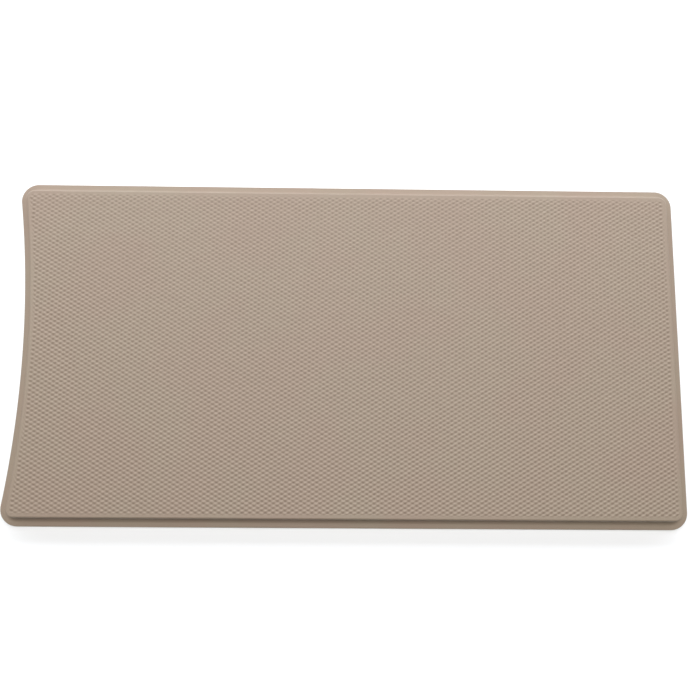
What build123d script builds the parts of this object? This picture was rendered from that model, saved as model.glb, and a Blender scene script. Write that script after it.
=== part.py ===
from build123d import *

import os
from math import radians, tan

# An anti-fatigue standing mat, in millimetres with +Z up.
#
# The mat lies flat on the floor with its long side along X. The origin is on the floor
# under the middle of its overall rectangle. It is a bonded stack of five layers:
#
#   cover_skin      embossed wear skin, moulded as a shallow tray with a coved rim
#   cover_backing   knitted fabric carrier on the inside of the skin
#   comfort_foam    soft upper foam, which gives underfoot
#   support_foam    firm lower foam, which stops the mat bottoming out
#   base_sheet      non-slip sheet on the floor, welded to the skin's lip all round
#
# Seen from above, the +X end is straight and the -X end is drawn in by a shallow arc.

# Overall size
length = 991.0
width = 508.0
thickness = 19.0
corner_radius = 25.0
end_bow = 16.5  # how far the middle of the -X end is drawn in

# Layer thicknesses, from the floor up; the comfort foam takes what is left
base_thickness = 1.6
support_thickness = 6.5
backing_thickness = 0.6
skin_thickness = 1.2

# Rim, from the outer edge inwards
lip_width = 5.5  # flat lip round the foot of the rim
lip_round = 0.6  # round on the lip's outer edge
cove_radius = 7.0  # hollow between the lip and the wall
wall_angle = 80.0  # steep wall above the cove, measured from the floor
top_round = 2.3  # round between the wall and the standing face
floor_round = 0.4  # round on the base sheet's lower edge

# Joints between the layers
weld_width = 8.5  # margin where the skin is welded straight onto the base sheet
hem_width = 2.0  # foot of the backing, between the weld and the foam

lip_height = base_thickness + skin_thickness
foam_depth = skin_thickness + backing_thickness
base_top = Plane.XY.offset(base_thickness)
support_top = Plane.XY.offset(base_thickness + support_thickness)
cove_tangent = tan(radians(wall_angle / 2))


def outline(inset):
    """The mat's plan, brought in from its edge by inset.

    The centres of the corner rounds are the corners of a hard-edged core, and the core
    grown by the rest of the corner radius is the plan.
    """
    end = length / 2 - corner_radius
    side = width / 2 - corner_radius
    with BuildSketch() as plan:
        with BuildLine():
            Polyline((-end, side), (end, side), (end, -side), (-end, -side))
            ThreePointArc((-end, -side), (-end + end_bow, 0), (-end, side))
        make_face()
        offset(amount=corner_radius - inset, kind=Kind.ARC)
    return plan.sketch


def mound(depth):
    """The mat's outer form brought in by depth: a lip, a coved rim and a flat top."""
    lip_top = lip_height - depth
    wall_foot = lip_width + (cove_radius + depth) * cove_tangent
    with BuildPart() as form:
        with BuildSketch():
            add(outline(depth))
        extrude(amount=lip_top)
        with BuildSketch(Plane.XY.offset(lip_top)):
            add(outline(wall_foot))
        extrude(amount=thickness - lip_height, taper=90 - wall_angle)
        lip = form.faces().filter_by(Axis.Z).sort_by(Axis.Z)[1]
        fillet(lip.inner_wires()[0].edges(), radius=cove_radius + depth)
        fillet(form.faces().sort_by(Axis.Z)[-1].edges(), radius=top_round - depth)
    return form.part


def filling(depth, inset):
    """What the mound at this depth holds above the base sheet, cut upright at inset."""
    with BuildPart() as form:
        add(mound(depth))
        with BuildSketch(base_top):
            add(outline(inset))
        extrude(amount=thickness, mode=Mode.INTERSECT)
    return form.part


skin_cavity = filling(skin_thickness, weld_width)
foam_core = filling(foam_depth, weld_width + hem_width)

with BuildPart() as cover_skin:
    add(mound(0))
    split(bisect_by=base_top, keep=Keep.TOP)
    lip = cover_skin.faces().filter_by(Axis.Z).sort_by(Axis.Z)[1]
    fillet(lip.outer_wire().edges(), radius=lip_round)
    add(skin_cavity, mode=Mode.SUBTRACT)

with BuildPart() as cover_backing:
    add(skin_cavity)
    add(foam_core, mode=Mode.SUBTRACT)

with BuildPart() as comfort_foam:
    add(foam_core)
    split(bisect_by=support_top, keep=Keep.TOP)

with BuildPart() as support_foam:
    add(foam_core)
    split(bisect_by=support_top, keep=Keep.BOTTOM)

with BuildPart() as base_sheet:
    with BuildSketch():
        add(outline(0))
    extrude(amount=base_thickness)
    fillet(base_sheet.faces().sort_by(Axis.Z)[0].edges(), radius=floor_round)

pieces = {
    "cover_skin": cover_skin,
    "cover_backing": cover_backing,
    "comfort_foam": comfort_foam,
    "support_foam": support_foam,
    "base_sheet": base_sheet,
}
os.makedirs("parts", exist_ok=True)
for name, piece in pieces.items():
    piece.part.label = name
    export_step(piece.part, f"parts/{name}.step")
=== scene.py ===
"""The looks of an anti-fatigue standing mat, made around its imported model.

The mat is a bonded stack that lies flat on the floor: an embossed wear skin with a
coved rim, its knitted backing, a soft and a firm foam, and a non-slip base sheet.
Every layer is drawn from one plan (the outline seen from above) and one rim path (the
section down its edge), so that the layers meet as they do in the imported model.
Lengths are in metres.
"""

import logging
import math
from dataclasses import dataclass, field, replace
from enum import Enum
from typing import Any, Sequence

import bmesh
import bpy
import numpy as np
from mathutils import Matrix, Vector


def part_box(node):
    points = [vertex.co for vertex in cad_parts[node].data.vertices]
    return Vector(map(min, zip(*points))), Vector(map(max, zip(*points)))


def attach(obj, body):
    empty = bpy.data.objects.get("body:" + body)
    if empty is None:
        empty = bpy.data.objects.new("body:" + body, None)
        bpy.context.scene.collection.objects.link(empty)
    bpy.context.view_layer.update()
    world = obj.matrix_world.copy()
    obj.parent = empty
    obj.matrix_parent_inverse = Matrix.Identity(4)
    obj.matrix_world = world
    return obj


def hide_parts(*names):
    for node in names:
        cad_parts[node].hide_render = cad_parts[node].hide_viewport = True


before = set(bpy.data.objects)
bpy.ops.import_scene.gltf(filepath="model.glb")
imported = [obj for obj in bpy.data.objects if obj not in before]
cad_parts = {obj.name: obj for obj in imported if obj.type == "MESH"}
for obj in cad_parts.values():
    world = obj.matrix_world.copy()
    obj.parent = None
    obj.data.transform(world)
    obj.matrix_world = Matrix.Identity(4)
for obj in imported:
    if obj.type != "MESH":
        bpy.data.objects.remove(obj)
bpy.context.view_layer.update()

BODY = "root"
MM = 0.001
RELIEF = "relief"

log = logging.getLogger("mat")


# --------------------------------------------------------------------------- shaders


class Value:
    """A number in a shader, which Python's arithmetic signs work on."""

    def __init__(self, recipe: "Recipe", socket: bpy.types.NodeSocket) -> None:
        """Wraps an output socket of a recipe."""
        self.recipe = recipe
        self.socket = socket

    def maths(self, operation: str, *terms: Any) -> "Value":
        """Adds a Math node.

        Args:
            operation: the Math node's operation.
            terms: its inputs in order, each a Value or a number.

        Returns:
            The node's result.
        """
        inputs = dict(enumerate(terms))
        return self.recipe.node("ShaderNodeMath", {"operation": operation}, inputs)

    def __add__(self, other: Any) -> "Value":
        """self + other."""
        return self.maths("ADD", self, other)

    def __radd__(self, other: Any) -> "Value":
        """other + self."""
        return self.maths("ADD", other, self)

    def __sub__(self, other: Any) -> "Value":
        """self - other."""
        return self.maths("SUBTRACT", self, other)

    def __rsub__(self, other: Any) -> "Value":
        """other - self."""
        return self.maths("SUBTRACT", other, self)

    def __mul__(self, other: Any) -> "Value":
        """self * other."""
        return self.maths("MULTIPLY", self, other)

    def __rmul__(self, other: Any) -> "Value":
        """other * self."""
        return self.maths("MULTIPLY", other, self)

    def sine(self) -> "Value":
        """The sine of this value, in radians."""
        return self.maths("SINE", self)


class Recipe:
    """A material's node tree, built one node at a time around a Principled shader."""

    def __init__(self, name: str) -> None:
        """Starts an empty material.

        Args:
            name: the material's name.
        """
        self.material = bpy.data.materials.new(name)
        self.material.use_nodes = True
        self.tree = self.material.node_tree
        self.shader = self.tree.nodes["Principled BSDF"]
        self.places = self.output("ShaderNodeTexCoord", "Object")

    def raw(self, kind: str, settings: dict[str, Any], inputs: dict[Any, Any]) -> bpy.types.Node:
        """Adds a node.

        Args:
            kind: the node's type.
            settings: its properties, by name.
            inputs: a Value, number or colour for each input, by name or by number.

        Returns:
            The node.
        """
        node = self.tree.nodes.new(kind)
        for name, setting in settings.items():
            setattr(node, name, setting)
        for name, given in inputs.items():
            self.feed(node.inputs[name], given)
        return node

    def node(self, kind: str, settings: dict[str, Any], inputs: dict[Any, Any], out: Any = 0) -> Value:
        """Adds a node, as raw does, and returns its output named or numbered out."""
        return Value(self, self.raw(kind, settings, inputs).outputs[out])

    def output(self, kind: str, out: str) -> Value:
        """The output named out of a new node that has no inputs."""
        return self.node(kind, {}, {}, out)

    def feed(self, socket: bpy.types.NodeSocket, given: Any) -> None:
        """Gives an input its value.

        Args:
            socket: the input.
            given: a Value, which is linked, or a number or colour, which is set.
        """
        if isinstance(given, Value):
            self.tree.links.new(given.socket, socket)
        else:
            socket.default_value = given

    def noise(self, size: float, detail: float = 2.0, roughness: float = 0.5) -> Value:
        """Smooth noise from 0 to 1.

        Args:
            size: how wide its blotches are.
            detail: how many finer layers it has.
            roughness: how strong the finer layers are.

        Returns:
            The noise.
        """
        inputs = {"Vector": self.places, "Scale": 1 / size, "Detail": detail, "Roughness": roughness}
        return self.node("ShaderNodeTexNoise", {}, inputs, "Fac")

    def cells(self, size: float) -> Value:
        """Distance to the nearest of the points scattered about this size apart."""
        inputs = {"Vector": self.places, "Scale": 1 / size}
        return self.node("ShaderNodeTexVoronoi", {}, inputs, "Distance")

    def between(
        self, value: Value, low: float, high: float, to_low: float = 0.0, to_high: float = 1.0
    ) -> Value:
        """Maps a value from low..high to to_low..to_high with a soft start and end, held outside.

        Args:
            value: what is mapped.
            low: the value that gives to_low.
            high: the value that gives to_high.
            to_low: the result at low and below.
            to_high: the result at high and above.

        Returns:
            The mapped value.
        """
        inputs = {"Value": value, "From Min": low, "From Max": high, "To Min": to_low, "To Max": to_high}
        return self.node("ShaderNodeMapRange", {"interpolation_type": "SMOOTHSTEP"}, inputs)

    def mixed(self, share: Value, first: Any, second: Any) -> Value:
        """The colour that goes from first to second as share goes from 0 to 1."""
        node = self.raw("ShaderNodeMix", {"data_type": "RGBA"}, {0: share, 6: first, 7: second})
        return Value(self, node.outputs[2])

    def axes(self) -> tuple[Value, Value, Value]:
        """The place on the piece as three values, X, Y and Z."""
        node = self.raw("ShaderNodeSeparateXYZ", {}, {0: self.places})
        return tuple(Value(self, out) for out in node.outputs)

    def bump(self, height: Value, depth: float, strength: float, under: Value | None = None) -> Value:
        """A normal that follows a height map.

        Args:
            height: the map, from 0 to 1.
            depth: how deep the map is.
            strength: the share of the effect that shows.
            under: a normal that this one is laid over.

        Returns:
            The normal.
        """
        inputs = {"Height": height, "Distance": depth, "Strength": strength}
        if under is not None:
            inputs["Normal"] = under
        return self.node("ShaderNodeBump", {}, inputs)

    def finish(self, **inputs: Any) -> bpy.types.Material:
        """Feeds the Principled shader.

        Args:
            inputs: a Value, number or colour for each of its inputs, named in lower_case.

        Returns:
            The finished material.
        """
        for name, given in inputs.items():
            self.feed(self.shader.inputs[name.replace("_", " ").title().replace("Ior", "IOR")], given)
        return self.material


Colour = tuple[float, float, float, float]


@dataclass(frozen=True)
class EmbossedVinyl:
    """The wear skin: matt beige vinyl with a fine leather grain over the pressed relief, with painted shade
    in the relief's hollows and a painted highlight on its tops.
    """

    base: Colour = (0.300, 0.228, 0.173, 1)
    # Painted shade: the darker colour laid into the relief's hollows.
    valley_painted_shade: Colour = (0.238, 0.177, 0.131, 1)
    # Painted highlight: the lighter colour laid on the relief's tops.
    crest_painted_highlight: Colour = (0.330, 0.254, 0.195, 1)
    cool: Colour = (0.297, 0.236, 0.176, 1)
    grain_size: float = 0.45 * MM
    grain_depth: float = 0.04 * MM
    pore_size: float = 1.5 * MM
    # Share of painted shade that the fine random flecks take.
    pore_shade: float = 0.4
    # Random patches fade the painted shade and painted highlight back to the plain tone.
    patch_size: float = 16 * MM
    patch_fade: float = 0.45
    cloud_size: float = 130 * MM
    roughness: float = 0.46
    crest_polish: float = 0.06
    pore_dullness: float = 0.10

    def make(self) -> bpy.types.Material:
        """Builds the finish, which reads the relief attribute: -1 deep in the relief, 1 at its highest, and
        paints shade into the hollows and a highlight onto the tops.

        Returns:
            The material.
        """
        recipe = Recipe("embossed_vinyl")
        relief = recipe.node("ShaderNodeAttribute", {"attribute_name": RELIEF}, {}, "Fac")
        cloud = recipe.noise(self.cloud_size, 2.0)
        patch = recipe.noise(self.patch_size, 2.0, 0.6)
        fleck = recipe.noise(self.pore_size, 2.0, 0.6)
        grain = recipe.cells(self.grain_size)
        plain = recipe.mixed(recipe.between(cloud, 0.38, 0.62), self.base, self.cool)
        # Painted shade: darkens the tone towards the hollows of the relief.
        low = recipe.mixed(recipe.between(relief, -1.0, 0.0), self.valley_painted_shade, plain)
        # Painted highlight: lightens the tone towards the tops of the relief.
        tone = recipe.mixed(recipe.between(relief, 0.0, 1.0), low, self.crest_painted_highlight)
        # Random patches where the painted shade and highlight fade back to the plain tone.
        tone = recipe.mixed(recipe.between(patch, 0.35, 0.65, 0.0, self.patch_fade), tone, plain)
        # Painted shade: fine random flecks darkened towards the painted hollow shade colour.
        tone_with_painted_shade_flecks = recipe.mixed(recipe.between(fleck, 0.52, 0.75, 0.0, self.pore_shade), tone, self.valley_painted_shade)
        fine = recipe.bump(grain, self.grain_depth, 0.6)
        normal = recipe.bump(fleck, self.grain_depth * 2, 0.35, fine)
        rough = self.roughness - self.crest_polish * relief + self.pore_dullness * (fleck - 0.5)
        return recipe.finish(base_color=tone_with_painted_shade_flecks, roughness=rough, normal=normal, specular_ior_level=0.3)


@dataclass(frozen=True)
class KnitBacking:
    """The skin's carrier: an off-white warp knit with wales along X, with painted shade between its loops."""

    yarn: Colour = (0.70, 0.67, 0.60, 1)
    # Painted shade: the darker colour laid where the knit sinks between its loops.
    gap_painted_shade: Colour = (0.42, 0.39, 0.33, 1)
    wale: float = 1.3 * MM
    course: float = 1.0 * MM
    loop_bow: float = 1.2
    fuzz_size: float = 0.5 * MM
    depth: float = 0.25 * MM
    roughness: float = 0.92

    def make(self) -> bpy.types.Material:
        """Builds the finish.

        Returns:
            The material.
        """
        recipe = Recipe("knit_backing")
        along, across, _ = recipe.axes()
        turn = 2 * math.pi
        wales = (across * (turn / self.wale)).sine()
        loops = (along * (turn / self.course) + self.loop_bow * wales).sine()
        height = 0.5 + 0.25 * loops + 0.25 * wales
        fuzz = recipe.noise(self.fuzz_size, 3.0, 0.7)
        # Painted shade: darkens the knit towards the low parts of its height map.
        shade = recipe.mixed(recipe.between(height * (0.7 + 0.6 * fuzz), 0.1, 0.8), self.gap_painted_shade, self.yarn)
        normal = recipe.bump(height, self.depth, 0.8)
        return recipe.finish(base_color=shade, roughness=self.roughness, normal=normal)


class Grade(Enum):
    """The two foams of the core."""

    SOFT = "soft_foam"
    FIRM = "firm_foam"


@dataclass(frozen=True)
class CellFoam:
    """Cut foam: round cells with finer ones between them, with painted shade darker in the cells than on
    their walls.
    """

    wall: Colour
    # Painted shade: the darker colour laid into the cells.
    pore: Colour
    cell: float
    roughness: float
    fine_cells: float = 0.37
    cloud_cells: float = 60
    cell_depth: float = 0.4

    @classmethod
    def of(cls, grade: Grade) -> "CellFoam":
        """The foam of a grade: the soft one is paler and has the larger cells.

        Args:
            grade: which foam.

        Returns:
            Its finish.
        """
        if grade is Grade.SOFT:
            return cls(wall=(0.66, 0.60, 0.50, 1), pore=(0.40, 0.35, 0.27, 1), cell=1.4 * MM, roughness=0.88)
        return cls(wall=(0.115, 0.110, 0.104, 1), pore=(0.040, 0.038, 0.036, 1), cell=0.8 * MM, roughness=0.8)

    def make(self, name: str) -> bpy.types.Material:
        """Builds the finish.

        Args:
            name: the material's name.

        Returns:
            The material.
        """
        recipe = Recipe(name)
        wide = recipe.cells(self.cell)
        narrow = recipe.cells(self.cell * self.fine_cells)
        cut = recipe.between(wide, 0.15, 0.6) * 0.7 + recipe.between(narrow, 0.1, 0.6) * 0.3
        cloud = recipe.noise(self.cell * self.cloud_cells, 2.0)
        # Random clouds also darken the walls a little towards the painted cell shade colour.
        wall = recipe.mixed(recipe.between(cloud, 0.3, 0.7, 0.0, 0.3), self.wall, self.pore)
        # Painted shade: the cells take the darker colour, the walls the lighter.
        tone = recipe.mixed(cut, self.pore, wall)
        normal = recipe.bump(cut, self.cell * self.cell_depth, 0.7)
        return recipe.finish(base_color=tone, roughness=self.roughness, normal=normal)


@dataclass(frozen=True)
class GripVinyl:
    """The base sheet: foamed vinyl, a shade darker than the skin, with a dull dry face."""

    base: Colour = (0.255, 0.200, 0.156, 1)
    dot: Colour = (0.315, 0.252, 0.198, 1)
    grain_size: float = 0.8 * MM
    grain_depth: float = 0.12 * MM
    cloud_size: float = 90 * MM
    roughness: float = 0.82
    dot_polish: float = 0.12

    def make(self, dot_height: float) -> bpy.types.Material:
        """Builds the finish.

        Args:
            dot_height: how far the grip dots stand below the sheet.

        Returns:
            The material.
        """
        recipe = Recipe("grip_vinyl")
        _, _, up = recipe.axes()
        crown = recipe.between(up, dot_height * 0.2, dot_height, 1.0, 0.0)
        cloud = recipe.noise(self.cloud_size, 3.0)
        grain = recipe.noise(self.grain_size, 3.0, 0.65)
        tone = recipe.mixed(crown, self.base, self.dot)
        tone = recipe.mixed(recipe.between(cloud, 0.3, 0.7, 0.0, 0.18), tone, self.dot)
        tone = recipe.mixed(recipe.between(grain, 0.35, 0.7, 0.0, 0.3), tone, self.base)
        rough = self.roughness - self.dot_polish * crown + 0.10 * (grain - 0.5)
        normal = recipe.bump(grain, self.grain_depth, 0.6)
        return recipe.finish(base_color=tone, roughness=rough, normal=normal, specular_ior_level=0.3)


@dataclass(frozen=True)
class StudioFloor:
    """A plain pale floor with a barely visible mottle."""

    pale: Colour = (0.92, 0.92, 0.92, 1)
    paler: Colour = (0.94, 0.94, 0.94, 1)
    cloud_size: float = 0.4

    def make(self) -> bpy.types.Material:
        """Builds the finish.

        Returns:
            The material.
        """
        recipe = Recipe("studio_floor")
        tone = recipe.mixed(recipe.noise(self.cloud_size), self.pale, self.paler)
        return recipe.finish(base_color=tone, roughness=0.9, specular_ior_level=0.1)


# ------------------------------------------------------------------- plan and section


@dataclass(frozen=True)
class Plan:
    """The mat's outline seen from above: straight on three sides, drawn in at -X.

    The centres of the corner rounds are the corners of a hard-edged core. A point on
    the outline, or on any line inset from it, is a core point moved out along its normal.
    """

    half_length: float
    half_width: float
    corner: float = 25 * MM
    bow: float = 16.5 * MM

    @property
    def end(self) -> float:
        """X of the core's straight end."""
        return self.half_length - self.corner

    @property
    def side(self) -> float:
        """Y of the core's back edge."""
        return self.half_width - self.corner

    @property
    def arc_radius(self) -> float:
        """Radius of the core's drawn-in end."""
        return (self.side**2 + self.bow**2) / (2 * self.bow)

    @property
    def arc_centre(self) -> float:
        """X of the centre of the drawn-in end."""
        return -self.end + self.bow - self.arc_radius

    @property
    def arc_half_angle(self) -> float:
        """Angle from the X axis to either end of the drawn-in end."""
        return math.asin(self.side / self.arc_radius)

    def loop(self, long_steps: int, short_steps: int, corner_steps: int) -> tuple[np.ndarray, np.ndarray]:
        """Core points and outward normals once round the plan, anticlockwise.

        The loop starts at the middle of the front left corner's round.

        Args:
            long_steps: steps along each long side, between the corners' rounds.
            short_steps: steps along each end, between the corners' rounds.
            corner_steps: steps along each half of a corner's round.

        Returns:
            The core points and the normals, each an array of (x, y) rows.
        """
        lean = self.arc_half_angle
        quarter = math.pi / 2
        points: list[tuple[float, float]] = []
        angles: list[float] = []

        def corner(at: tuple[float, float], first: float, last: float) -> None:
            """Adds half a corner's round about a core corner, from one normal to another."""
            for angle in np.linspace(first, last, corner_steps + 1)[:-1]:
                points.append(at)
                angles.append(angle)

        def run(first: tuple[float, float], last: tuple[float, float], steps: int, angle: float) -> None:
            """Adds a straight side between two core corners, with one normal."""
            for share in np.arange(steps) / steps:
                x = first[0] + share * (last[0] - first[0])
                y = first[1] + share * (last[1] - first[1])
                points.append((x, y))
                angles.append(angle)

        front_left, front_right = (-self.end, -self.side), (self.end, -self.side)
        back_right, back_left = (self.end, self.side), (-self.end, self.side)
        left_middle = (2 * quarter - lean + 3 * quarter) / 2
        back_middle = (quarter + 2 * quarter + lean) / 2
        corner(front_left, left_middle, 3 * quarter)
        run(front_left, front_right, long_steps, 3 * quarter)
        corner(front_right, 3 * quarter, 3.5 * quarter)
        corner(front_right, 3.5 * quarter, 4 * quarter)
        run(front_right, back_right, short_steps, 0.0)
        corner(back_right, 0.0, 0.5 * quarter)
        corner(back_right, 0.5 * quarter, quarter)
        run(back_right, back_left, long_steps, quarter)
        corner(back_left, quarter, back_middle)
        corner(back_left, back_middle, 2 * quarter + lean)
        for turn in np.linspace(lean, -lean, short_steps + 1)[:-1]:
            x = self.arc_centre + self.arc_radius * math.cos(turn)
            y = self.arc_radius * math.sin(turn)
            points.append((x, y))
            angles.append(2 * quarter + turn)
        corner(front_left, 2 * quarter - lean, left_middle)
        turned = np.array(angles)
        return np.array(points), np.stack([np.cos(turned), np.sin(turned)], 1)

    def line(self, inset: float, steps: tuple[int, int, int]) -> np.ndarray:
        """Points once round the outline brought in by inset, as (x, y) rows.

        Args:
            inset: how far inside the outline the line runs.
            steps: the plan's steps along the long sides, the ends and half a corner.

        Returns:
            The points.
        """
        core, normal = self.loop(*steps)
        return core + (self.corner - inset) * normal

    def area(self, inset: float) -> float:
        """Area inside the outline brought in by inset."""
        x, y = self.line(inset, (8, 48, 16)).T
        return float(abs(x @ np.roll(y, -1) - y @ np.roll(x, -1)) / 2)

    def inset_at(self, x: np.ndarray, y: np.ndarray) -> np.ndarray:
        """How far inside the outline each point is.

        Args:
            x: the points' X.
            y: the points' Y.

        Returns:
            The distances, negative outside the outline.
        """
        past_end = x - self.end
        past_side = np.abs(y) - self.side
        from_centre = np.hypot(x - self.arc_centre, y)
        past_arc = self.arc_radius - from_centre
        beside_arc = np.abs(np.arctan2(y, x - self.arc_centre)) <= self.arc_half_angle
        before_corner = np.hypot(x + self.end, past_side)
        left = np.where(beside_arc, past_arc, np.where(x < -self.end, before_corner, past_arc))
        out = np.maximum(np.maximum(past_end, past_side), left)
        out = np.where((past_end > 0) & (past_side > 0), np.hypot(past_end, past_side), out)
        out = np.where((x < -self.end) & (past_side > 0), before_corner, out)
        return self.corner - out


@dataclass(frozen=True)
class RimPath:
    """The section down the rim: flat top, round, steep wall, cove and lip.

    A station is (inset from the outline, height). The path inside it by some depth is
    where the next layer starts.
    """

    top: float
    lip_top: float
    base_top: float
    lip_width: float = 5.5 * MM
    lip_round: float = 0.6 * MM
    cove_radius: float = 7 * MM
    top_round: float = 2.3 * MM
    wall_angle: float = math.radians(80)

    @property
    def flat_start(self) -> float:
        """Inset at which the flat top starts.

        Returns:
            The inset.
        """
        tangent = math.tan(self.wall_angle / 2)
        wall = (self.top - self.lip_top) / math.tan(self.wall_angle)
        return self.lip_width + (self.cove_radius + self.top_round) * tangent + wall

    def stations(
        self, depth: float = 0.0, round_steps: int = 5, cove_steps: int = 8
    ) -> list[tuple[float, float]]:
        """The path from the flat top out to the lip, brought in by depth.

        Args:
            depth: distance inside the outer face.
            round_steps: steps round the top's round.
            cove_steps: steps round the cove.

        Returns:
            The stations.
        """
        path = []
        radius, centre = self.top_round - depth, self.top - self.top_round
        for turn in np.linspace(0, self.wall_angle, round_steps + 1):
            path.append((self.flat_start - radius * math.sin(turn), centre + radius * math.cos(turn)))
        radius, centre = self.cove_radius + depth, self.lip_top + self.cove_radius
        for turn in np.linspace(self.wall_angle, 0, cove_steps + 1):
            path.append((self.lip_width + radius * math.sin(turn), centre - radius * math.cos(turn)))
        return path

    def lip(self, steps: int = 3) -> list[tuple[float, float]]:
        """The lip's outer edge, from its top round down to the base sheet.

        Args:
            steps: steps round the lip's round.

        Returns:
            The stations.
        """
        path = []
        for turn in np.linspace(0, math.pi / 2, steps + 1):
            drop = self.lip_round * (1 - math.cos(turn))
            path.append((self.lip_round * (1 - math.sin(turn)), self.lip_top - drop))
        return [*path, (0.0, self.base_top)]

    def cut(self, depth: float, foot: float) -> list[tuple[float, float]]:
        """The path inside the outer face by depth, cut off upright at foot.

        Args:
            depth: distance inside the outer face.
            foot: inset of the upright cut.

        Returns:
            The stations from the flat top down to the base sheet.
        """
        path = self.stations(depth)
        kept = [at for at in path if at[0] > foot]
        insets, heights = zip(*reversed(path))
        return [*kept, (foot, float(np.interp(foot, insets, heights))), (foot, self.base_top)]

    def inset_at(self, height: float, depth: float) -> float:
        """Inset of the path inside the outer face by depth, at this height."""
        insets, heights = zip(*reversed(self.stations(depth)))
        return float(np.interp(height, heights, insets))

    def run(self, depth: float, foot: float) -> float:
        """Length of the cut path from the flat top's edge down to its foot."""
        stops = np.array(self.cut(depth, foot))
        return float(np.hypot(*np.diff(stops, axis=0).T).sum())


@dataclass(frozen=True)
class Emboss:
    """The pressed relief: soft lozenges in staggered rows, a little out of square with the mat."""

    along: tuple[float, float] = (11.006 * MM, 0.060 * MM)
    across: tuple[float, float] = (0.123 * MM, 6.528 * MM)
    height: float = 1.1 * MM

    def rise(self, x: np.ndarray, y: np.ndarray) -> np.ndarray:
        """Height of the relief above its valleys, at each point.

        Args:
            x: the points' X.
            y: the points' Y.

        Returns:
            The heights.
        """
        grid = np.linalg.inv(np.array([self.along, self.across]).T)
        column = 2 * np.pi * (grid[0, 0] * x + grid[0, 1] * y)
        row = 2 * np.pi * (grid[1, 0] * x + grid[1, 1] * y)
        share = (1 + np.cos(column) * np.cos(row)) / 2
        return self.height * share * share * (3 - 2 * share)


# --------------------------------------------------------------------------- modelling


class Bench:
    """Mesh operators that more than one piece is modelled with."""

    @staticmethod
    def clear() -> None:
        """Deselects everything."""
        bpy.ops.object.select_all(action="DESELECT")

    @staticmethod
    def take(piece: bpy.types.Object) -> None:
        """Makes a piece the only one selected, and the active one.

        Args:
            piece: the piece.
        """
        Bench.clear()
        piece.select_set(True)
        bpy.context.view_layer.objects.active = piece

    @staticmethod
    def points(piece: bpy.types.Object) -> np.ndarray:
        """Reads where a piece's vertices are.

        Args:
            piece: the piece.

        Returns:
            Rows of X, Y and Z.
        """
        found = np.empty(len(piece.data.vertices) * 3)
        piece.data.vertices.foreach_get("co", found)
        return found.reshape(-1, 3)

    @staticmethod
    def place(piece: bpy.types.Object, points: np.ndarray) -> None:
        """Moves the piece's vertices to these points."""
        piece.data.vertices.foreach_set("co", np.ascontiguousarray(points).ravel())
        piece.data.update()

    @staticmethod
    def grid(name: str, columns: int, rows: int) -> bpy.types.Object:
        """Adds a flat grid two metres across, for its vertices to be moved.

        Args:
            name: the piece's name.
            columns: how many cells it has along X.
            rows: how many cells it has along Y.

        Returns:
            The piece.
        """
        Bench.clear()
        bpy.ops.mesh.primitive_grid_add(x_subdivisions=columns, y_subdivisions=rows, size=2, calc_uvs=False)
        piece = bpy.context.active_object
        piece.name = piece.data.name = name
        return piece

    @staticmethod
    def swept(
        name: str,
        plan: Plan,
        steps: tuple[int, int, int],
        path: Sequence[tuple[float, float]],
        close_top: bool = True,
        close_foot: bool = True,
    ) -> bpy.types.Object:
        """A solid or shell whose edge follows a section all round the plan.

        A circle of as many points as the plan's loop is extruded once for each station.

        Args:
            name: the piece's name.
            plan: the outline.
            steps: the plan's steps along the long sides, the ends and half a corner.
            path: stations of inset and height, from the middle of the top outwards.
            close_top: whether a face closes the first station.
            close_foot: whether a face closes the last station.

        Returns:
            The piece.
        """
        core, normal = plan.loop(*steps)
        Bench.clear()
        bpy.ops.mesh.primitive_circle_add(vertices=len(core), radius=1, calc_uvs=False)
        piece = bpy.context.active_object
        piece.name = piece.data.name = name
        station = piece.data.attributes.new("station", "INT", "POINT")
        station.data.foreach_set("value", np.arange(len(core), dtype=np.int32))
        bpy.ops.object.mode_set(mode="EDIT")
        bpy.ops.mesh.select_all(action="SELECT")
        for index, (inset, height) in enumerate(path):
            if index:
                bpy.ops.mesh.extrude_edges_move()
            elif close_top:
                bpy.ops.mesh.edge_face_add()
            mesh = bmesh.from_edit_mesh(piece.data)
            layer = mesh.verts.layers.int["station"]
            for vertex in mesh.verts:
                if vertex.select:
                    at = vertex[layer]
                    x, y = core[at] + (plan.corner - inset) * normal[at]
                    vertex.co = (x, y, height)
            bmesh.update_edit_mesh(piece.data)
        if close_foot:
            bpy.ops.mesh.edge_face_add()
        bpy.ops.object.mode_set(mode="OBJECT")
        piece.data.attributes.remove(piece.data.attributes["station"])
        return piece

    @staticmethod
    def joined(first: bpy.types.Object, second: bpy.types.Object) -> bpy.types.Object:
        """Joins one piece into another.

        Args:
            first: the piece that stays.
            second: the piece that becomes part of it.

        Returns:
            The first piece.
        """
        Bench.take(first)
        second.select_set(True)
        bpy.ops.object.join()
        return first

    @staticmethod
    def tidy(piece: bpy.types.Object, angle: float = math.radians(60)) -> None:
        """Merges doubled vertices, turns the faces outwards and shades the piece smooth.

        Args:
            piece: the piece.
            angle: edges sharper than this stay sharp.
        """
        Bench.take(piece)
        bpy.ops.object.mode_set(mode="EDIT")
        bpy.ops.mesh.select_all(action="SELECT")
        bpy.ops.mesh.remove_doubles(threshold=1e-6)
        bpy.ops.mesh.normals_make_consistent(inside=False)
        bpy.ops.object.mode_set(mode="OBJECT")
        bpy.ops.object.shade_smooth_by_angle(angle=angle)

    @staticmethod
    def dress(piece: bpy.types.Object, material: bpy.types.Material) -> None:
        """Gives the piece one material."""
        piece.data.materials.clear()
        piece.data.materials.append(material)


def eased(share: np.ndarray) -> np.ndarray:
    """A share held from 0 to 1, with a soft start and end."""
    held = share.clip(0, 1)
    return held * held * (3 - 2 * held)


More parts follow.
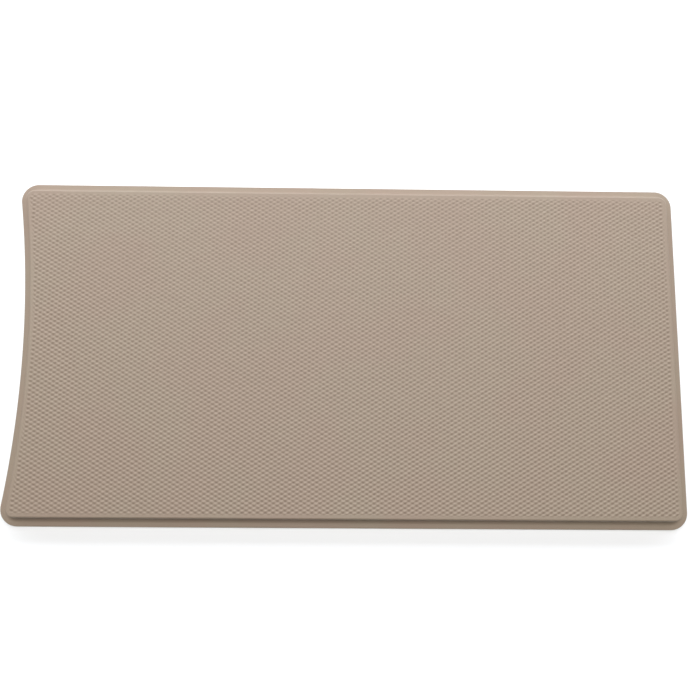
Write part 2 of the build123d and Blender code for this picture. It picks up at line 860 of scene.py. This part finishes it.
@dataclass
class WearSkin:
    """The embossed skin: a relief field inside a smooth coved rim, welded down at its lip."""

    plan: Plan
    inner: RimPath
    emboss: Emboss
    thickness: float
    weld_width: float
    samples: int = 6
    corner_steps: int = 8
    rim_gap: float = 0.1 * MM
    margin: float = 3.0 * MM
    fade: float = 1.4 * MM
    shoulder: float = 10 * MM
    shoulder_drop: float = 0.25 * MM
    least_wall: float = 0.08 * MM
    bow_reach: float = 0.12
    end_cells: int = 14
    finish: EmbossedVinyl = field(default_factory=EmbossedVinyl)

    @property
    def outer(self) -> RimPath:
        """The rim's outer face, low enough for the relief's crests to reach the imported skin's top."""
        return replace(self.inner, top=self.inner.top - self.emboss.height / 2 - self.shoulder_drop)

    @property
    def field_inset(self) -> float:
        """Inset at which the relief field's mesh starts."""
        return self.outer.flat_start + self.rim_gap

    @property
    def steps(self) -> tuple[int, int, int]:
        """How finely the field is divided.

        Returns:
            Its cells between the corner squares, along X and along Y, and across a corner square.
        """
        columns = round(2 * self.plan.end / self.emboss.along[0] * self.samples)
        rows = round(2 * self.plan.side / self.emboss.across[1] * self.samples)
        return columns, rows, self.corner_steps

    def field_lines(self) -> tuple[np.ndarray, np.ndarray]:
        """Where the grid's lines lie before its corners are rounded.

        Returns:
            X of the columns and Y of the rows.
        """
        columns, rows, corner = self.steps
        radius = self.plan.corner - self.field_inset

        def lines(core: float, count: int) -> np.ndarray:
            """Lines out to the core and on across the corner squares."""
            outer = np.linspace(core, core + radius, corner + 1)[1:]
            return np.concatenate([-outer[::-1], np.linspace(-core, core, count + 1), outer])

        return lines(self.plan.end, columns), lines(self.plan.side, rows)

    def build_field(self) -> bpy.types.Object:
        """Lays the relief field as a grid that follows the plan, and presses the relief into it.

        Returns:
            The field.
        """
        columns, rows = self.field_lines()
        piece = Bench.grid("embossed_skin", len(columns) - 1, len(rows) - 1)
        x, y = (line.ravel() for line in np.meshgrid(columns, rows))
        x, y = self.rounded(x, y)
        x = self.drawn_in(x, y)
        x, y = self.on_plan(x, y)
        relief = self.relief(x, y)
        inside = self.plan.inset_at(x, y) - self.field_inset
        z = self.outer.top + self.shoulder_drop * eased(inside / self.shoulder) + relief
        z = np.maximum(z, self.inner.top - self.thickness + self.least_wall)
        Bench.place(piece, np.stack([x, y, z], 1))
        # The skin's material reads this for its painted shade in the hollows and painted highlight on the
        # tops.
        pressed = piece.data.attributes.new(RELIEF, "FLOAT", "POINT")
        pressed.data.foreach_set("value", relief * 2 / self.emboss.height)
        return piece

    def rounded(self, x: np.ndarray, y: np.ndarray) -> tuple[np.ndarray, np.ndarray]:
        """Turns each corner square of a rectangle into a quarter disc.

        Args:
            x: the points' X.
            y: the points' Y.

        Returns:
            Their new X and Y.
        """
        radius = self.plan.corner - self.field_inset
        p = ((np.abs(x) - self.plan.end) / radius).clip(0, 1)
        q = ((np.abs(y) - self.plan.side) / radius).clip(0, 1)
        square = (p > 0) & (q > 0)
        reach = np.maximum(p, q)
        low, high = np.minimum(p, q), np.where(reach > 0, reach, 1)
        turn = np.where(p >= q, low / high, 2 - low / high) * math.pi / 4
        new_x = np.where(square, self.plan.end + radius * reach * np.cos(turn), np.abs(x))
        new_y = np.where(square, self.plan.side + radius * reach * np.sin(turn), np.abs(y))
        return np.copysign(new_x, x), np.copysign(new_y, y)

    def drawn_in(self, x: np.ndarray, y: np.ndarray) -> np.ndarray:
        """Moves the columns near the -X end in to follow its arc.

        Args:
            x: the points' X.
            y: the points' Y.

        Returns:
            Their new X.
        """
        plan = self.plan
        height = np.abs(y).clip(0, plan.side)
        arc = plan.arc_centre + np.sqrt(plan.arc_radius**2 - height**2) + plan.end
        return x + arc * eased(1 - (x + plan.half_length) / self.bow_reach)

    def on_plan(self, x: np.ndarray, y: np.ndarray) -> tuple[np.ndarray, np.ndarray]:
        """Sets the grid's edge exactly on the plan, and eases the cells beside its ends.

        Args:
            x: the points' X, row by row.
            y: the points' Y, row by row.

        Returns:
            Their new X and Y.
        """
        columns, rows = (len(line) for line in self.field_lines())
        at = np.stack([x, y], -1).reshape(rows, columns, 2)
        edge = self.plan.line(self.field_inset, self.steps)
        sides = np.split(edge, np.cumsum([columns - 1, rows - 1, columns - 1]))
        ahead = [*sides[1:], sides[0]]
        front, right, back, left = (np.concatenate([side, after[:1]]) for side, after in zip(sides, ahead))
        for first, step, target in ((0, 1, left[::-1]), (columns - 1, -1, right)):
            shift = target - at[:, first]
            for depth in range(self.end_cells):
                at[:, first + step * depth] += (1 - depth / self.end_cells) ** 2 * shift
        at[0] = front
        at[-1] = back[::-1]
        return at[..., 0].ravel(), at[..., 1].ravel()

    def relief(self, x: np.ndarray, y: np.ndarray) -> np.ndarray:
        """Height of the emboss above its middle level, which fades out to a smooth margin."""
        inside = self.plan.inset_at(x, y) - self.field_inset
        return eased((inside - self.margin) / self.fade) * (self.emboss.rise(x, y) - self.emboss.height / 2)

    def build(self) -> bpy.types.Object:
        """Models and dresses the skin.

        Returns:
            The piece.
        """
        piece = self.build_field()
        path = [(self.field_inset, self.outer.top), *self.outer.stations(), *self.outer.lip()]
        path += reversed(self.inner.cut(self.thickness, self.weld_width))
        rim = Bench.swept("rim", self.plan, self.steps, path, close_top=False)
        Bench.joined(piece, rim)
        Bench.tidy(piece)
        Bench.dress(piece, self.finish.make())
        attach(piece, BODY)
        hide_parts("cover_skin")
        return piece


@dataclass
class KnitCarrier:
    """The knitted fabric bonded to the inside of the skin, turned down all round to a narrow foot."""

    plan: Plan
    path: RimPath
    depth: float
    thickness: float
    weld_width: float
    hem_width: float
    steps: tuple[int, int, int] = (120, 60, 8)
    finish: KnitBacking = field(default_factory=KnitBacking)

    def build(self) -> bpy.types.Object:
        """Models and dresses the fabric.

        Returns:
            The piece.
        """
        outside = self.path.cut(self.depth, self.weld_width)
        inside = self.path.cut(self.depth + self.thickness, self.weld_width + self.hem_width)
        piece = Bench.swept("knit_carrier", self.plan, self.steps, [*outside, *reversed(inside)])
        Bench.tidy(piece)
        Bench.dress(piece, self.finish.make())
        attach(piece, BODY)
        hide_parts("cover_backing")
        spare = self.path.run(self.depth, self.weld_width) - self.path.flat_start
        flat = (2 * (self.plan.half_width + spare), 2 * (self.plan.half_length + spare))
        area = self.plan.area(-spare)
        return piece


@dataclass
class FoamSlab:
    """One of the two foams, cut to fill the skin's hollow between two heights."""

    grade: Grade
    plan: Plan
    path: RimPath
    depth: float
    foot: float
    low: float
    high: float
    steps: tuple[int, int, int] = (120, 60, 8)

    def build(self) -> bpy.types.Object:
        """Models and dresses the slab.

        Returns:
            The piece.
        """
        path = [at for at in self.path.cut(self.depth, self.foot) if self.low < at[1] < self.high]
        inset_low = max(self.foot, self.path.inset_at(self.low, self.depth))
        if self.high < self.path.top - self.depth:
            path.insert(0, (self.path.inset_at(self.high, self.depth), self.high))
        else:
            path.insert(0, self.path.stations(self.depth)[0])
        path.append((inset_low, self.low))
        piece = Bench.swept(f"{self.grade.value}_slab", self.plan, self.steps, path)
        Bench.tidy(piece)
        Bench.dress(piece, CellFoam.of(self.grade).make(f"{self.grade.value}_cells"))
        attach(piece, BODY)
        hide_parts("comfort_foam" if self.grade is Grade.SOFT else "support_foam")
        return piece


@dataclass
class GripSheet:
    """The base sheet: a smooth sealed border round a field of small round grip dots."""

    plan: Plan
    top: float
    floor_round: float = 0.4 * MM
    border: float = 10 * MM
    recess: float = 0.45 * MM
    cell: float = 13 * MM
    dot_radius: float = 3.2 * MM
    dot_edge: float = 0.12 * MM
    dot_flare: float = 1.06
    dot_slack: float = 1.01
    dot_crown: float = 0.9
    clear: float = 13 * MM
    steps: tuple[int, int, int] = (96, 48, 8)
    finish: GripVinyl = field(default_factory=GripVinyl)

    def build_border(self) -> bpy.types.Object:
        """Models the sheet's flat top, its edge and its border, open in the middle underneath.

        Returns:
            The shell.
        """
        path = [(0.0, self.top)]
        for turn in np.linspace(0, math.pi / 2, 4):
            inset = self.floor_round * (1 - math.cos(turn))
            path.append((inset, self.floor_round * (1 - math.sin(turn))))
        path += [(self.border, 0.0), (self.border + self.recess, self.recess)]
        return Bench.swept("grip_sheet", self.plan, self.steps, path, close_foot=False)

    def build_field(self) -> bpy.types.Object:
        """Models the field of dots as a trimmed grid with a dot on every other cell.

        Returns:
            The field.
        """
        columns = 2 * math.floor(self.plan.half_length / self.cell)
        rows = 2 * math.floor(self.plan.half_width / self.cell)
        piece = Bench.grid("dot_field", columns, rows)
        at = Bench.points(piece)
        at *= (columns / 2 * self.cell, rows / 2 * self.cell, 0)
        at[:, 2] = self.recess
        Bench.place(piece, at)
        self.trim(piece)
        self.raise_dots(piece)
        return piece

    def trim(self, piece: bpy.types.Object) -> None:
        """Removes the cells that reach outside the border's inner edge.

        Args:
            piece: the field of dots.
        """
        x, y, _ = Bench.points(piece).T
        inside = self.plan.inset_at(x, y) > self.clear
        Bench.take(piece)
        bpy.ops.object.mode_set(mode="EDIT")
        bpy.ops.mesh.select_mode(type="FACE")
        bpy.ops.mesh.select_all(action="DESELECT")
        mesh = bmesh.from_edit_mesh(piece.data)
        for face in mesh.faces:
            face.select_set(not all(inside[corner.index] for corner in face.verts))
        bmesh.update_edit_mesh(piece.data)
        bpy.ops.mesh.delete(type="FACE")
        bpy.ops.object.mode_set(mode="OBJECT")

    def raise_dots(self, piece: bpy.types.Object) -> None:
        """Rounds a disc in every other cell and draws it down to the floor as a low dome.

        Args:
            piece: the field of dots.
        """
        bpy.ops.object.mode_set(mode="EDIT")
        mesh = bmesh.from_edit_mesh(piece.data)
        for face in mesh.faces:
            centre = face.calc_center_median()
            face.select_set((math.floor(centre.x / self.cell) + math.floor(centre.y / self.cell)) % 2 == 0)
        bmesh.update_edit_mesh(piece.data)
        bpy.ops.mesh.inset(thickness=self.cell / 2 - self.dot_radius, use_individual=True)
        bpy.ops.mesh.subdivide(number_cuts=2)
        bpy.ops.mesh.extrude_region_move()
        self.shape_dots(piece)
        bpy.ops.object.mode_set(mode="OBJECT")

    def shape_dots(self, piece: bpy.types.Object) -> None:
        """Moves the extruded discs' vertices out to circles and down to the dome.

        A vertex is on a disc within dot_slack of its radius, and on the disc's edge past
        dot_crown of it. The disc's foot, which isn't selected, is wider by dot_flare.

        Args:
            piece: the field of dots.
        """
        mesh = bmesh.from_edit_mesh(piece.data)
        for vertex in mesh.verts:
            centre = [(math.floor(at / self.cell) + 0.5) * self.cell for at in vertex.co[:2]]
            p, q = vertex.co.x - centre[0], vertex.co.y - centre[1]
            reach = max(abs(p), abs(q))
            if reach > self.dot_radius * self.dot_slack:
                continue
            stretch = reach / math.hypot(p, q) * (1 if vertex.select else self.dot_flare)
            vertex.co.x = centre[0] + p * stretch
            vertex.co.y = centre[1] + q * stretch
            if vertex.select:
                vertex.co.z = self.dot_edge if reach > self.dot_radius * self.dot_crown else 0.0
        bmesh.update_edit_mesh(piece.data)

    def close(self, piece: bpy.types.Object) -> None:
        """Fills the gap between the dot field and the border.

        Args:
            piece: the border and the field, joined.
        """
        Bench.take(piece)
        bpy.ops.object.mode_set(mode="EDIT")
        bpy.ops.mesh.select_mode(type="EDGE")
        bpy.ops.mesh.select_all(action="DESELECT")
        mesh = bmesh.from_edit_mesh(piece.data)
        for edge in mesh.edges:
            edge.select_set(edge.is_boundary)
        bmesh.update_edit_mesh(piece.data)
        bpy.ops.mesh.fill(use_beauty=True)
        bpy.ops.object.mode_set(mode="OBJECT")

    def build(self) -> bpy.types.Object:
        """Models and dresses the sheet.

        Returns:
            The piece.
        """
        piece = Bench.joined(self.build_border(), self.build_field())
        self.close(piece)
        Bench.tidy(piece, math.radians(40))
        Bench.dress(piece, self.finish.make(self.recess))
        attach(piece, BODY)
        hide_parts("base_sheet")
        return piece


# ------------------------------------------------------------------------------ studio


@dataclass(frozen=True)
class Softbox:
    """An area light that faces the middle of the mat."""

    name: str
    place: tuple[float, float, float]
    size: tuple[float, float]
    power: float
    tint: tuple[float, float, float] = (1.0, 1.0, 1.0)

    def hang(self) -> None:
        """Adds the light to the scene."""
        lamp = bpy.data.lights.new(self.name, "AREA")
        lamp.shape = "RECTANGLE"
        lamp.size, lamp.size_y = self.size
        lamp.energy = self.power
        lamp.color = self.tint
        holder = bpy.data.objects.new(self.name, lamp)
        holder.location = self.place
        holder.rotation_euler = (-Vector(self.place)).to_track_quat("-Z", "Y").to_euler()
        bpy.context.scene.collection.objects.link(holder)


@dataclass
class Studio:
    """The pale floor, the soft lights and the camera.

    The lens is as long as its sensor is wide, both in millimetres.
    """

    target: tuple[float, float, float] = (4.3 * MM, 4.9 * MM, 0.0)
    distance: float = 1.0426
    azimuth: float = math.radians(-5.696)
    elevation: float = math.radians(82.524)
    roll: float = math.radians(6.165)
    lens: float = 36.0
    sky: float = 0.09
    backdrop: float = 0.55
    daylight: float = 1.7
    daylight_tint: tuple[float, float, float] = (1.0, 0.985, 0.945)
    daylight_lean: float = math.radians(-8)
    daylight_spread: float = math.radians(40)
    softboxes: tuple[Softbox, ...] = (
        Softbox("overhead", (0.0, 0.7, 2.0), (8.0, 1.0), 45, (0.98, 1.0, 1.05)),
        Softbox("back_strip", (0.0, 1.7, 0.8), (8.0, 0.4), 82, (0.94, 1.0, 1.10)),
    )
    floor_size: float = 60.0
    floor_drop: float = 0.1 * MM
    floor: StudioFloor = field(default_factory=StudioFloor)

    def build_floor(self) -> None:
        """Lays the floor a hair under the mat, so that no two faces share a plane."""
        Bench.clear()
        bpy.ops.mesh.primitive_plane_add(size=self.floor_size, location=(0, 0, -self.floor_drop))
        floor = bpy.context.active_object
        floor.name = "studio_floor"
        Bench.dress(floor, self.floor.make())

    def fill_air(self) -> None:
        """Sets the sky, which is seen paler than it lights."""
        world = bpy.data.worlds.new("studio_air")
        world.use_nodes = True
        air = world.node_tree.nodes["Background"]
        air.inputs["Color"].default_value = (1, 1, 1, 1)
        seen = world.node_tree.nodes.new("ShaderNodeLightPath").outputs["Is Camera Ray"]
        strength = world.node_tree.nodes.new("ShaderNodeMapRange")
        strength.inputs["To Min"].default_value = self.sky
        strength.inputs["To Max"].default_value = self.backdrop
        world.node_tree.links.new(seen, strength.inputs["Value"])
        world.node_tree.links.new(strength.outputs["Result"], air.inputs["Strength"])
        bpy.context.scene.world = world

    def light(self) -> None:
        """Adds the soft daylight and the softboxes."""
        sun = bpy.data.lights.new("daylight", "SUN")
        sun.energy = self.daylight
        sun.color = self.daylight_tint
        sun.angle = self.daylight_spread
        holder = bpy.data.objects.new("daylight", sun)
        holder.rotation_euler = (self.daylight_lean, 0, 0)
        bpy.context.scene.collection.objects.link(holder)
        for softbox in self.softboxes:
            softbox.hang()

    def aim(self) -> None:
        """Sets up the camera over the mat."""
        lens = bpy.data.cameras.new("camera")
        lens.sensor_width = self.lens
        lens.lens = self.lens
        camera = bpy.data.objects.new("camera", lens)
        flat = math.cos(self.elevation)
        back = Vector(
            (math.sin(self.azimuth) * flat, -math.cos(self.azimuth) * flat, math.sin(self.elevation))
        )
        right = (-back).cross(Vector((0, 0, 1))).normalized()
        up = right.cross(-back)
        turned_right = math.cos(self.roll) * right + math.sin(self.roll) * up
        turned_up = math.cos(self.roll) * up - math.sin(self.roll) * right
        axes = Matrix((turned_right, turned_up, back)).transposed()
        place = Vector(self.target) + self.distance * back
        camera.matrix_world = Matrix.LocRotScale(place, axes.to_quaternion(), None)
        bpy.context.scene.collection.objects.link(camera)
        bpy.context.scene.camera = camera

    def build(self) -> None:
        """Builds the whole studio."""
        self.build_floor()
        self.fill_air()
        self.light()
        self.aim()
        bpy.context.scene.view_settings.view_transform = "Standard"


@dataclass
class Mat:
    """The whole mat: its layers share one plan and one rim path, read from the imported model."""

    weld_width: float = 8.5 * MM
    hem_width: float = 2 * MM
    emboss: Emboss = field(default_factory=Emboss)

    def build(self) -> list[bpy.types.Object]:
        """Builds the layers from the top down.

        Returns:
            The pieces.
        """
        skin_low, skin_high = (Vector(corner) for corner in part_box("cover_skin"))
        knit_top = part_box("cover_backing")[1][2]
        foam_low, foam_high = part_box("comfort_foam")[0][2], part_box("comfort_foam")[1][2]
        skin_depth, foam_depth = skin_high.z - knit_top, skin_high.z - foam_high
        base_top, foot = skin_low.z, self.weld_width + self.hem_width
        plan = Plan(half_length=skin_high.x, half_width=skin_high.y)
        rim = RimPath(top=skin_high.z, lip_top=base_top + skin_depth, base_top=base_top)
        layers = [
            WearSkin(plan, rim, self.emboss, skin_depth, self.weld_width),
            KnitCarrier(plan, rim, skin_depth, foam_depth - skin_depth, self.weld_width, self.hem_width),
            FoamSlab(Grade.SOFT, plan, rim, foam_depth, foot, foam_low, foam_high),
            FoamSlab(Grade.FIRM, plan, rim, foam_depth, foot, base_top, foam_low),
            GripSheet(plan, base_top),
        ]
        return [layer.build() for layer in layers]


def main() -> None:
    """Builds the mat and the studio round it."""
    logging.basicConfig(level=logging.INFO, format="%(message)s")
    for piece in Mat().build():
        log.info("%s has %d faces", piece.name, len(piece.data.polygons))
    Studio().build()


if __name__ == "__main__":
    main()
